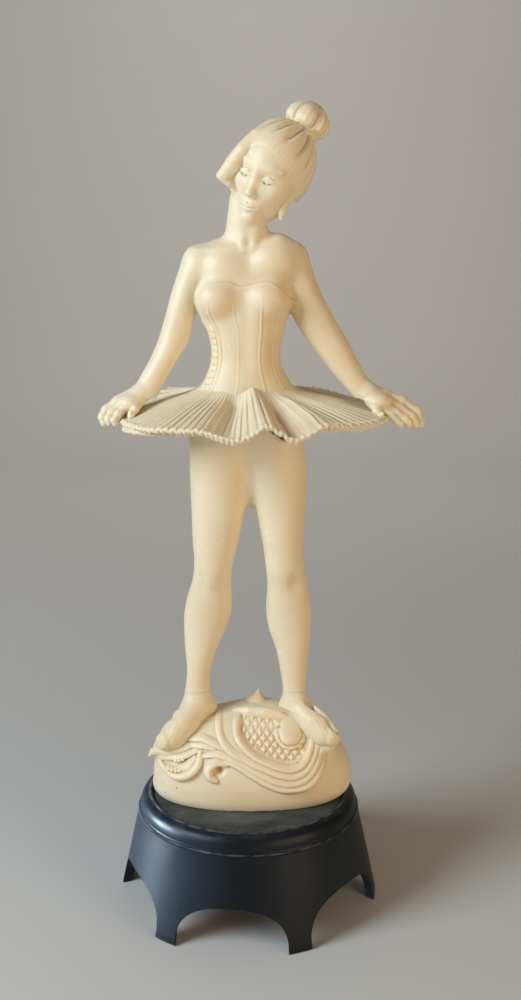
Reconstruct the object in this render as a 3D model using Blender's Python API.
"""A dancer statuette in ivory-coloured resin on a black pedestal with six feet.

The dancer stands with her legs apart and lays both hands on her tutu. The front of the piece faces -Y.
Every moulding is a separate solid with a moulded peg or a screw that holds it to the next one.
Positions below are in millimetres from the pedestal's axis, at the level that the feet stand on.
"""

import math

import bmesh
import bpy
from mathutils import Matrix, Vector

MM = 0.001

# Driving dimensions, in millimetres.
FOOT_RADIUS = 28.6  # outer radius of the pedestal at its feet
LEDGE_RADIUS, LEDGE_Z = 24.2, 20.6  # where the conical wall ends in a small step
RIM_RADIUS, RIM_Z = 22.0, 24.4  # the top rim of the pedestal
RECESS_RADIUS, RECESS_DEPTH = 21.2, 1.0  # the round recess that takes the disc
DECK_Z = 21.2  # underside of the deck that carries the figure
WALL = 1.7  # wall thickness of the pedestal
ARCH_HEIGHT, ARCH_HALF_WIDTH = 9.8, 11.6  # an arch between two feet
ARCH_TURN = math.radians(-8.0)  # the arches are a little turned from the figure's front
BOSS_RADIUS, BOSS_Z = 3.4, 17.0  # the screw boss under the deck
SCREW_RADIUS, SCREW_TOP_Z = 1.35, 32.0
DISC_THICKNESS = 0.55
MOUND_Z = RIM_Z - RECESS_DEPTH + DISC_THICKNESS + 0.1  # underside of the mound
ANKLE_Z = 47.2  # the joint line round each ankle
HIP_Z = 103.0  # the joint between legs and pelvis
PELVIS_TOP_Z = 108.6
WAIST_Z = 111.3  # the joint between tutu and bodice
NECK_Z = 144.2
JOINT_GAP = 0.1  # the film of cement in a flat joint
TUTU_TOP_Z = WAIST_Z - JOINT_GAP
TUTU_HOLE, TUTU_THICKNESS = 2.6, 1.0
PEG_CLEARANCE = 0.15

# The pedestal's axis lies here in the part's frame, so that the origin is at the middle of the whole object.
AXIS_OFFSET = Vector((-3.1, 0.0, 0.0))


def clear_scene():
    for obj in list(bpy.data.objects):
        bpy.data.objects.remove(obj)


def make_material(name, colour, roughness, metallic=0.0):
    material = bpy.data.materials.new(name)
    material.use_nodes = True
    shader = material.node_tree.nodes["Principled BSDF"]
    shader.inputs["Base Color"].default_value = (*colour, 1.0)
    shader.inputs["Roughness"].default_value = roughness
    shader.inputs["Metallic"].default_value = metallic
    return material


def finish_mesh(name, bm, material, smooth_angle=40.0):
    """The bmesh, still in millimetres, as a named object in metres, with its faces pointing out."""
    bmesh.ops.recalc_face_normals(bm, faces=bm.faces)
    bmesh.ops.scale(bm, vec=(MM, MM, MM), verts=bm.verts)
    mesh = bpy.data.meshes.new(name)
    bm.to_mesh(mesh)
    bm.free()
    obj = bpy.data.objects.new(name, mesh)
    bpy.context.scene.collection.objects.link(obj)
    if material:
        mesh.materials.append(material)
    mesh.shade_smooth()
    mesh.set_sharp_from_angle(angle=math.radians(smooth_angle))
    return obj


# Lofted bodies ----------------------------------------------------------------------------------------------


def spline(stations, steps):
    """Catmull-Rom values through the stations, with this many steps from one station to the next."""
    count = len(stations)
    found = []
    for i in range(count - 1):
        around = [stations[min(max(k, 0), count - 1)] for k in (i - 1, i, i + 1, i + 2)]
        for step in range(steps):
            t = step / steps
            found.append(tuple(catmull_rom(*values, t) for values in zip(*around)))
    found.append(tuple(stations[-1]))
    return found


def catmull_rom(a, b, c, d, t):
    return 0.5 * (
        2 * b + (c - a) * t + (2 * a - 5 * b + 4 * c - d) * t * t + (3 * b - a - 3 * c + d) * t**3
    )


def bridge(bm, rings):
    """Side faces between each ring and the next, and a flat cap on both ends."""
    sides = len(rings[0])
    for low, high in zip(rings, rings[1:]):
        for i in range(sides):
            j = (i + 1) % sides
            bm.faces.new((low[i], low[j], high[j], high[i]))
    bm.faces.new(rings[0][::-1])
    bm.faces.new(rings[-1])


def loft(stations, sides, steps=2, level=False, across=(1, 0, 0)):
    """A closed body through stations (x, y, z, half width, half depth).

    The rings stand square to the path, or lie level. The half width is measured along the direction across.
    """
    path = spline(stations, steps)
    centres = [Vector(s[:3]) for s in path]
    bm = bmesh.new()
    rings = []
    for i, (centre, station) in enumerate(zip(centres, path)):
        ahead = centres[min(i + 1, len(path) - 1)] - centres[max(i - 1, 0)]
        tangent = Vector((0, 0, 1)) if level else ahead.normalized()
        wide = (Vector(across) - tangent * tangent.dot(Vector(across))).normalized()
        deep = tangent.cross(wide)
        ring = []
        for k in range(sides):
            angle = 2 * math.pi * k / sides
            offset = wide * station[3] * math.cos(angle) + deep * station[4] * math.sin(angle)
            ring.append(bm.verts.new(centre + offset))
        rings.append(ring)
    bridge(bm, rings)
    return bm


def turn(profile, segments):
    """A turned body round the Z axis. The profile runs from the axis to the axis, as (radius, z)."""
    bm = bmesh.new()
    rings = []
    for radius, z in profile[1:-1]:
        angles = [2 * math.pi * k / segments for k in range(segments)]
        rings.append([bm.verts.new((radius * math.cos(a), radius * math.sin(a), z)) for a in angles])
    bridge_open(bm, rings)
    for pole, ring in ((profile[0], rings[0]), (profile[-1], rings[-1])):
        tip = bm.verts.new((0, 0, pole[1]))
        for k in range(segments):
            bm.faces.new((tip, ring[k], ring[(k + 1) % segments]))
    return bm


def bridge_open(bm, rings):
    sides = len(rings[0])
    for low, high in zip(rings, rings[1:]):
        for i in range(sides):
            j = (i + 1) % sides
            bm.faces.new((low[i], low[j], high[j], high[i]))


def keep_below(bm, point, normal):
    """Cuts off what lies on the side that the normal points to, and closes the cut with a flat face."""
    everything = bm.verts[:] + bm.edges[:] + bm.faces[:]
    cut = bmesh.ops.bisect_plane(
        bm, geom=everything, dist=1e-5, plane_co=point, plane_no=normal, clear_outer=True
    )
    edges = [g for g in cut["geom_cut"] if isinstance(g, bmesh.types.BMEdge)]
    bmesh.ops.holes_fill(bm, edges=edges, sides=0)


# Pegs, sockets and cutters ----------------------------------------------------------------------------------


def rod(name, start, end, radius, sides=14):
    """A plain round bar from start to end, used as a peg or as the cutter of its socket."""
    start, end = Vector(start), Vector(end)
    along = end - start
    bm = bmesh.new()
    bmesh.ops.create_cone(
        bm,
        cap_ends=True,
        segments=sides,
        radius1=radius,
        radius2=radius,
        depth=along.length,
        matrix=Matrix.Translation((start + end) / 2) @ along.to_track_quat("Z", "Y").to_matrix().to_4x4(),
    )
    return helper(finish_mesh(name, bm, None))


def helper(obj):
    """A cutter or a joining shape, which isn't a part of its own."""
    obj.hide_render = True
    obj.display_type = "WIRE"
    return obj


def combine(obj, other, operation):
    modifier = obj.modifiers.new(f"{operation.lower()}_{other.name}", "BOOLEAN")
    modifier.object = other
    modifier.operation = operation
    modifier.solver = "EXACT"


def add_peg(owner, mate, start, end, radius, name):
    """A peg moulded on the owner, from inside it to its free end, and its socket in the mate."""
    start, end = Vector(start), Vector(end)
    ahead = (end - start).normalized()
    combine(owner, rod(f"{name}_peg_shape", start, end, radius), "UNION")
    socket = rod(f"{name}_socket_cutter", start, end + ahead * 0.4, radius + PEG_CLEARANCE)
    combine(mate, socket, "DIFFERENCE")


def inflated(obj, amount, name):
    """A slightly larger copy of a piece, to cut its seat out of a neighbour."""
    bm = bmesh.new()
    bm.from_mesh(obj.data)
    bm.normal_update()
    for vert in bm.verts:
        vert.co += vert.normal * amount * MM
    mesh = bpy.data.meshes.new(name)
    bm.to_mesh(mesh)
    bm.free()
    copy = bpy.data.objects.new(name, mesh)
    bpy.context.scene.collection.objects.link(copy)
    return helper(copy)


# The pedestal and what holds the figure to it ---------------------------------------------------------------


def pedestal(material):
    """A hollow cone with a stepped rim, a recessed deck and a screw boss, cut by six arches into six feet."""
    inner = FOOT_RADIUS - WALL
    floor = RIM_Z - RECESS_DEPTH
    outline = [(FOOT_RADIUS, 0.0), (FOOT_RADIUS, 0.6), (LEDGE_RADIUS, LEDGE_Z - 0.5)]
    outline += [(LEDGE_RADIUS + 0.15, LEDGE_Z), (LEDGE_RADIUS - 0.15, LEDGE_Z + 0.3)]
    for step in range(4):
        angle = math.radians(22 * step)
        roll = LEDGE_RADIUS - 0.35 - 1.75 * (1 - math.cos(angle))
        outline.append((roll, LEDGE_Z + 0.6 + 2.9 * math.sin(angle)))
    outline += [(RIM_RADIUS, RIM_Z), (RECESS_RADIUS + 0.1, RIM_Z), (RECESS_RADIUS, RIM_Z - 0.2)]
    outline += [(RECESS_RADIUS, floor), (1.7, floor), (1.7, BOSS_Z), (BOSS_RADIUS, BOSS_Z)]
    outline += [(BOSS_RADIUS + 0.5, DECK_Z), (LEDGE_RADIUS - WALL - 2.2, DECK_Z)]
    outline += [(LEDGE_RADIUS - WALL, LEDGE_Z - 2.4), (inner, 0.0)]
    bm = bmesh.new()
    segments = 60
    rings = []
    for radius, z in outline:
        angles = [2 * math.pi * k / segments for k in range(segments)]
        rings.append([bm.verts.new((radius * math.cos(a), radius * math.sin(a), z)) for a in angles])
    bridge_open(bm, rings + [rings[0]])
    shell = finish_mesh("pedestal", bm, material, 30.0)
    for k in range(3):
        combine(shell, arch_cutter(f"arch_cutter_{k}", ARCH_TURN + k * math.pi / 3), "DIFFERENCE")
    return shell


def arch_cutter(name, angle):
    """A flat-topped arch pushed right through the pedestal, which opens two opposite sides at once."""
    points = []
    for step in range(17):
        t = math.pi * step / 16
        across = math.copysign(abs(math.cos(t)) ** 0.8, math.cos(t))
        points.append((ARCH_HALF_WIDTH * across, ARCH_HEIGHT * math.sin(t) ** 0.75))
    points = [(ARCH_HALF_WIDTH, -2.0)] + points + [(-ARCH_HALF_WIDTH, -2.0)]
    bm = bmesh.new()
    reach = 2 * FOOT_RADIUS
    near = [bm.verts.new((x, -reach, z)) for x, z in points]
    far = [bm.verts.new((x, reach, z)) for x, z in points]
    bridge(bm, [near, far])
    bmesh.ops.rotate(bm, verts=bm.verts, cent=(0, 0, 0), matrix=Matrix.Rotation(angle, 3, "Z"))
    return helper(finish_mesh(name, bm, None))


def recess_disc(material):
    low = RIM_Z - RECESS_DEPTH + 0.05
    high = low + DISC_THICKNESS - 0.05
    outer = RECESS_RADIUS - 0.3
    bm = bmesh.new()
    rings = []
    for radius, z in ((1.9, low), (outer, low), (outer, high - 0.12), (outer - 0.12, high), (1.9, high)):
        angles = [2 * math.pi * k / 48 for k in range(48)]
        rings.append([bm.verts.new((radius * math.cos(a), radius * math.sin(a), z)) for a in angles])
    bridge_open(bm, rings + [rings[0]])
    return finish_mesh("recess_disc", bm, material)


def mound_screw(material):
    """A self-tapping pan-head screw with ridges for its thread and a slot for the driver."""
    head_top = BOSS_Z - 0.75
    head = 1.9
    profile = [(0, head_top - head), (1.6, head_top - head), (2.6, head_top - 1.3), (2.8, head_top - 0.5)]
    profile += [(2.8, head_top), (SCREW_RADIUS - 0.25, head_top)]
    pitch = 1.4
    z = RIM_Z + 0.8
    profile.append((SCREW_RADIUS - 0.25, z))
    while z < SCREW_TOP_Z - 2 * pitch:
        profile += [(SCREW_RADIUS, z + 0.5 * pitch), (SCREW_RADIUS - 0.25, z + pitch)]
        z += pitch
    profile.append((0, SCREW_TOP_Z))
    screw = finish_mesh("mound_screw", turn(profile, 16), material)
    bm = bmesh.new()
    bmesh.ops.create_cube(bm, size=1.0)
    bmesh.ops.scale(bm, vec=(0.7, 7.0, 1.6), verts=bm.verts)
    bmesh.ops.translate(bm, vec=(0, 0, head_top - head), verts=bm.verts)
    combine(screw, helper(finish_mesh("slot_cutter", bm, None)), "DIFFERENCE")
    return screw


def screw_washer(material):
    low, high = BOSS_Z - 0.65, BOSS_Z - 0.1
    bm = bmesh.new()
    rings = []
    for radius, z in ((1.6, low), (3.3, low), (3.3, high), (1.6, high)):
        angles = [2 * math.pi * k / 24 for k in range(24)]
        rings.append([bm.verts.new((radius * math.cos(a), radius * math.sin(a), z)) for a in angles])
    bridge_open(bm, rings + [rings[0]])
    return finish_mesh("screw_washer", bm, material)


# The mound and the slippers ---------------------------------------------------------------------------------


def mound(material):
    """An oval knoll that swells over the rim and slopes up to the slippers."""
    stations = [
        (0.3, 0.4, MOUND_Z, 20.4, 11.2),
        (0.5, 0.4, MOUND_Z + 0.9, 21.1, 11.9),
        (0.6, 0.4, MOUND_Z + 2.6, 22.0, 12.3),
        (0.4, 0.6, MOUND_Z + 6.0, 21.2, 11.8),
        (0.2, 1.0, MOUND_Z + 10.0, 19.2, 10.4),
        (0.2, 1.5, MOUND_Z + 13.5, 17.2, 8.8),
        (0.4, 2.0, MOUND_Z + 16.6, 14.4, 6.8),
        (0.6, 2.4, MOUND_Z + 19.2, 9.6, 4.4),
        (0.8, 2.6, MOUND_Z + 20.3, 3.0, 1.6),
    ]
    knoll = finish_mesh("mound", loft(stations, 32, 2, level=True), material)
    pilot = rod("pilot_hole_cutter", (0, 0, MOUND_Z - 1), (0, 0, SCREW_TOP_Z + 1), SCREW_RADIUS + 0.25)
    combine(knoll, pilot, "DIFFERENCE")
    return knoll


def slipper(name, side, material):
    """A foot in its ballet slipper, from the joint line round the ankle down the slope to the toe."""
    drop = 0.9 if side < 0 else 0.0
    stations = [
        (10.6 * side, 0.0, ANKLE_Z + 1.0, 2.45, 2.6),
        (10.7 * side, 0.2, ANKLE_Z - 2.0, 2.85, 3.0),
        (11.2 * side, 0.1, 42.2 - drop, 3.2, 3.2),
        (13.0 * side, -1.8, 39.9 - drop, 3.1, 2.9),
        (15.4 * side, -4.3, 38.4 - drop, 2.9, 2.2),
        (17.6 * side, -6.6, 37.0 - drop, 2.3, 1.6),
        (18.9 * side, -8.0, 36.2 - drop, 0.9, 0.7),
    ]
    bm = loft(stations, 14, 2, across=(0.7, 0.7 * side, 0))
    keep_below(bm, (0, 0, ANKLE_Z - JOINT_GAP), (0, 0, 1))
    return finish_mesh(name, bm, material)


def leg(name, side, material):
    """A leg from the ankle's joint line to the joint under the tutu."""
    lean = [
        (10.7, 0.0, ANKLE_Z, 2.45, 2.6),
        (10.3, 0.2, 51.6, 2.75, 2.9),
        (9.8, 0.7, 56.2, 3.5, 3.8),
        (9.2, 1.0, 61.0, 4.4, 4.7),
        (8.8, 0.9, 65.5, 4.7, 4.9),
        (8.3, 0.3, 70.0, 4.3, 4.5),
        (7.6, 0.0, 75.0, 4.1, 4.5),
        (7.1, 0.0, 80.0, 4.7, 5.1),
        (6.7, 0.1, 85.5, 5.5, 5.8),
        (6.3, 0.3, 92.0, 6.0, 6.4),
        (6.1, 0.5, 98.5, 6.15, 6.8),
        (6.0, 0.6, HIP_Z - JOINT_GAP, 6.1, 7.0),
    ]
    stations = [(x * side, *rest) for x, *rest in lean]
    bm = loft(stations, 18, 2, level=True)
    keep_below(bm, (JOINT_GAP * side, 0, 0), (-side, 0, 0))
    return finish_mesh(name, bm, material)


# The body ---------------------------------------------------------------------------------------------------


def pelvis(material):
    stations = [
        (0.0, 0.6, HIP_Z, 12.1, 7.2),
        (-0.1, 0.5, 105.6, 11.6, 7.3),
        (-0.2, 0.4, PELVIS_TOP_Z, 10.4, 6.9),
    ]
    return finish_mesh("pelvis", loft(stations, 24, 2, level=True), material)


def bodice(material):
    """The upper body in its strapless bodice, from the waist joint to the root of the neck."""
    stations = [
        (-0.4, 0.2, WAIST_Z, 9.9, 7.2),
        (-0.3, 0.2, 113.0, 8.7, 6.4),
        (-0.4, 0.1, 116.0, 7.4, 5.6),
        (-0.7, 0.0, 119.5, 7.1, 5.4),
        (-0.8, -0.1, 123.0, 7.7, 5.7),
        (-0.9, -0.6, 127.0, 8.8, 6.6),
        (-0.8, -1.0, 130.5, 9.3, 7.2),
        (-0.4, -0.4, 134.5, 9.9, 6.6),
        (0.0, 0.3, 138.2, 11.0, 5.6),
        (0.2, 0.7, 141.2, 9.6, 4.4),
        (0.3, 0.7, 143.0, 5.6, 3.9),
        (0.4, 0.5, NECK_Z, 3.9, 3.7),
    ]
    bm = loft(stations, 24, 2, level=True)
    for side in (-1, 1):
        keep_below(bm, shoulder_point(side), shoulder_normal(side))
    return finish_mesh("bodice", bm, material)


def shoulder_point(side):
    """A point in the flat joint where the arm meets the body, from the armpit to the top of the shoulder."""
    return Vector((9.5 * side - 0.2, 0, 137.0))


def shoulder_normal(side):
    return Vector((0.985 * side, 0, 0.17)).normalized()


def arm(name, side, material):
    """A whole arm with its hand, which lies on the tutu with the fingers together."""
    if side < 0:
        stations = [
            (-7.4, 0.6, 139.4, 3.2, 3.6),
            (-9.6, 0.6, 138.3, 3.7, 3.8),
            (-11.0, 0.5, 135.2, 2.9, 3.5),
            (-12.3, 0.4, 131.0, 2.4, 3.1),
            (-13.6, 0.3, 127.0, 2.5, 2.9),
            (-15.3, 0.0, 123.0, 2.7, 2.8),
            (-17.5, -0.8, 118.8, 2.6, 2.6),
            (-19.8, -1.8, 114.8, 2.1, 2.1),
            (-21.6, -2.8, 112.4, 1.9, 2.5),
            (-24.4, -4.0, 110.2, 1.6, 3.3),
            (-27.6, -4.8, 108.0, 1.4, 3.1),
            (-29.8, -5.0, 106.2, 1.1, 2.3),
            (-30.6, -5.0, 105.2, 0.4, 1.0),
        ]
    else:
        stations = [
            (7.6, 0.6, 139.6, 3.2, 3.6),
            (9.7, 0.6, 138.4, 3.8, 3.9),
            (11.3, 0.5, 135.2, 3.1, 3.6),
            (12.6, 0.3, 131.0, 2.9, 3.3),
            (14.2, 0.1, 126.0, 3.1, 3.2),
            (16.6, -0.4, 121.6, 3.1, 3.1),
            (19.8, -1.2, 117.4, 2.7, 2.7),
            (22.9, -2.0, 114.2, 2.2, 2.2),
            (25.2, -2.8, 112.4, 1.9, 2.5),
            (28.6, -3.6, 110.8, 1.6, 3.2),
            (32.4, -4.2, 109.0, 1.5, 3.1),
            (35.6, -4.4, 106.8, 1.3, 2.3),
            (36.8, -4.4, 105.4, 0.5, 1.1),
        ]
    bm = loft(stations, 14, 2, across=(0.5 * side, 0, 0.87))
    keep_below(bm, shoulder_point(side) + shoulder_normal(side) * JOINT_GAP, -shoulder_normal(side))
    return finish_mesh(name, bm, material)


# The tutu ---------------------------------------------------------------------------------------------------


def tutu_rim(angle):
    """The rim at an angle from the right hand side: its distance from the axis and its height.

    The rim hangs at the front, rises at the back, reaches further on the right, and runs in slow waves.
    """
    across, ahead = math.cos(angle), math.sin(angle)
    radius = 21.2 + 1.5 * across + 6.8 * across * across - 0.8 * ahead
    wave = 0.9 * math.sin(6 * angle + 0.6) + 0.45 * math.sin(11 * angle)
    height = 106.3 + 2.5 * ahead + 1.7 * ahead * ahead + wave * (0.8 - 0.35 * ahead)
    return radius, height


def tutu_layer(name, material, top_z, inset, drop):
    """One pleated layer: flat under the waist, then falling to its wavy rim."""
    segments = 60
    bm = bmesh.new()
    top, under = [], []
    for share in (0.0, 0.4, 0.6, 0.8, 1.0):
        upper_ring, lower_ring = [], []
        for k in range(segments):
            angle = 2 * math.pi * k / segments
            rim, low = tutu_rim(angle)
            radius = TUTU_HOLE + (rim - inset - TUTU_HOLE) * share
            reach = (radius - TUTU_HOLE) / (rim - TUTU_HOLE)
            fall = max(0.0, (reach - 0.4) / 0.6) ** 1.3
            z = top_z + (low - TUTU_TOP_Z - drop) * fall
            place = (radius * math.cos(angle), radius * math.sin(angle))
            upper_ring.append(bm.verts.new((*place, z)))
            lower_ring.append(bm.verts.new((*place, z - TUTU_THICKNESS)))
        top.append(upper_ring)
        under.append(lower_ring)
    bridge_open(bm, under + top[::-1] + [under[0]])
    return finish_mesh(name, bm, material)


# The head ---------------------------------------------------------------------------------------------------


HEAD_CENTRE = Vector((5.2, -0.6, 156.4))
HEAD_TILT = math.radians(23)  # the crown leans to +X
HEAD_TURN = math.radians(-24)  # the face turns to -X
HEAD_NOD = math.radians(20)  # and looks down


def head_matrix():
    """From the head's own frame, with its face at -Y and its crown at +Z, to the figure's."""
    tilt = Matrix.Rotation(HEAD_TILT, 4, "Y")
    turned = Matrix.Rotation(HEAD_TURN, 4, "Z")
    nod = Matrix.Rotation(HEAD_NOD, 4, "X")
    return Matrix.Translation(HEAD_CENTRE) @ tilt @ turned @ nod


def egg(name, centre, radii, matrix, material=None, rows=12, sides=20):
    bm = bmesh.new()
    bmesh.ops.create_uvsphere(bm, u_segments=sides, v_segments=rows, radius=1.0)
    bmesh.ops.scale(bm, vec=radii, verts=bm.verts)
    bmesh.ops.translate(bm, vec=centre, verts=bm.verts)
    bmesh.ops.transform(bm, matrix=matrix, verts=bm.verts)
    return finish_mesh(name, bm, material)


def head(material):
    """Neck, face and hair in one moulding: a face egg inside a fuller cap of hair with two flicked ends."""
    neck = [
        (0.4, 0.5, NECK_Z + JOINT_GAP, 3.9, 3.7),
        (0.6, 0.4, 146.0, 3.4, 3.4),
        (1.2, 0.2, 149.0, 3.3, 3.4),
        (2.4, 0.2, 152.5, 3.4, 3.6),
        (3.8, 0.4, 156.0, 3.0, 3.2),
    ]
    piece = finish_mesh("head", loft(neck, 20, 2, level=True), material)
    place = head_matrix()
    combine(piece, helper(egg("face_shape", (0, -0.9, -0.9), (6.4, 7.3, 9.4), place)), "UNION")
    combine(piece, helper(egg("hair_shape", (0, 1.0, 1.6), (7.5, 7.7, 8.3), place)), "UNION")
    flicks = {
        "left_flick_shape": [(-5.6, 0.2, 2.0, 2.0, 3.2), (-7.4, 0.6, -2.2, 1.6, 3.2), (-9.4, 1.0, -5.0, 0.5, 1.2)],
        "right_flick_shape": [(5.6, 0.6, 2.0, 2.0, 3.2), (7.0, 1.0, -3.4, 1.5, 3.0), (6.6, 0.8, -8.2, 0.5, 1.2)],
    }
    for name, stations in flicks.items():
        bm = loft(stations, 12, 3, level=True)
        bmesh.ops.transform(bm, matrix=place, verts=bm.verts)
        combine(piece, helper(finish_mesh(name, bm, None)), "UNION")
    return piece


def bun(material):
    """The fluted bun on a waisted stem, set on the crown."""
    flutes, segments = 11, 44
    profile = [(0.3, -0.2), (3.2, 0.0), (3.5, 0.8), (4.3, 1.6), (4.6, 2.8), (4.4, 4.2), (3.7, 5.6), (2.3, 6.7)]
    profile.append((0.6, 7.1))
    bm = bmesh.new()
    rings = []
    for radius, z in profile:
        depth = 0.1 * min(1.0, max(0.0, (z - 1.5) / 2))
        ring = []
        for k in range(segments):
            angle = 2 * math.pi * k / segments
            lobe = radius * (1 - depth + depth * abs(math.cos(flutes * angle / 2)) ** 0.6)
            ring.append(bm.verts.new((lobe * math.cos(angle), lobe * math.sin(angle), z)))
        rings.append(ring)
    bridge(bm, rings)
    bmesh.ops.transform(bm, matrix=bun_matrix(), verts=bm.verts)
    return finish_mesh("hair_bun", bm, material)


def bun_matrix():
    """The bun's own frame: it stands on the crown and leans a little further than the head."""
    lean = Matrix.Rotation(math.radians(30), 4, "Y") @ Matrix.Rotation(math.radians(-6), 4, "X")
    return Matrix.Translation((10.3, 1.6, 163.0)) @ lean


# Assembly ---------------------------------------------------------------------------------------------------


def build():
    clear_scene()
    ivory = make_material("ivory_resin", (0.83, 0.70, 0.49), 0.38)
    black = make_material("black_moulding", (0.020, 0.022, 0.028), 0.33)
    grey = make_material("grey_disc", (0.12, 0.125, 0.12), 0.9)
    steel = make_material("zinc_steel", (0.62, 0.62, 0.6), 0.35, 1.0)

    base = pedestal(black)
    disc = recess_disc(grey)
    screw = mound_screw(steel)
    washer = screw_washer(steel)

    knoll = mound(ivory)
    slippers = {-1: slipper("left_slipper", -1, ivory), 1: slipper("right_slipper", 1, ivory)}
    legs = {-1: leg("left_leg", -1, ivory), 1: leg("right_leg", 1, ivory)}
    hips = pelvis(ivory)
    skirt = tutu_layer("tutu", ivory, TUTU_TOP_Z, 0.0, 0.0)
    petticoat = tutu_layer("petticoat", ivory, TUTU_TOP_Z - TUTU_THICKNESS - 0.2, 1.0, 0.8)
    body = bodice(ivory)
    arms = {-1: arm("left_arm", -1, ivory), 1: arm("right_arm", 1, ivory)}
    face = head(ivory)
    knot = bun(ivory)

    for side, foot in slippers.items():
        word = "left" if side < 0 else "right"
        combine(knoll, inflated(foot, 0.25, f"{word}_slipper_seat_cutter"), "DIFFERENCE")
        ankle = (10.7 * side, 0.0)
        add_peg(legs[side], foot, (*ankle, ANKLE_Z + 3), (*ankle, ANKLE_Z - 3.5), 1.1, f"{word}_ankle")
        hip = (6.2 * side, 0.6)
        add_peg(legs[side], hips, (*hip, HIP_Z - 3), (*hip, HIP_Z + 3.2), 2.0, f"{word}_hip")
        inward = -shoulder_normal(side)
        joint = shoulder_point(side)
        add_peg(arms[side], body, joint - inward * 2.2, joint + inward * 3.0, 1.5, f"{word}_shoulder")
    add_peg(body, hips, (0, 0, WAIST_Z + 3), (0, 0, PELVIS_TOP_Z - 3.2), 2.2, "waist")
    add_peg(face, body, (0.4, 0.5, NECK_Z + 3), (0.4, 0.5, NECK_Z - 3.4), 1.6, "neck")
    combine(face, inflated(knot, 0.25, "bun_seat_cutter"), "DIFFERENCE")
    foot_of_bun = bun_matrix() @ Vector((0, 0, 1.5))
    inside_head = bun_matrix() @ Vector((0, 0, -3.0))
    add_peg(knot, face, foot_of_bun, inside_head, 1.2, "bun")

    place_on_axis([base, disc, screw, washer, knoll, hips, skirt, petticoat, body, face, knot])
    place_on_axis([*slippers.values(), *legs.values(), *arms.values()])


def place_on_axis(pieces):
    """Hangs the pieces and their helpers on an empty at the pedestal's axis."""
    axis = bpy.data.objects.get("pedestal_axis")
    if axis is None:
        axis = bpy.data.objects.new("pedestal_axis", None)
        axis.location = AXIS_OFFSET * MM
        bpy.context.scene.collection.objects.link(axis)
    helpers = [o for o in bpy.data.objects if o.hide_render and o.parent is None]
    for obj in [*pieces, *helpers]:
        obj.parent = axis


build()
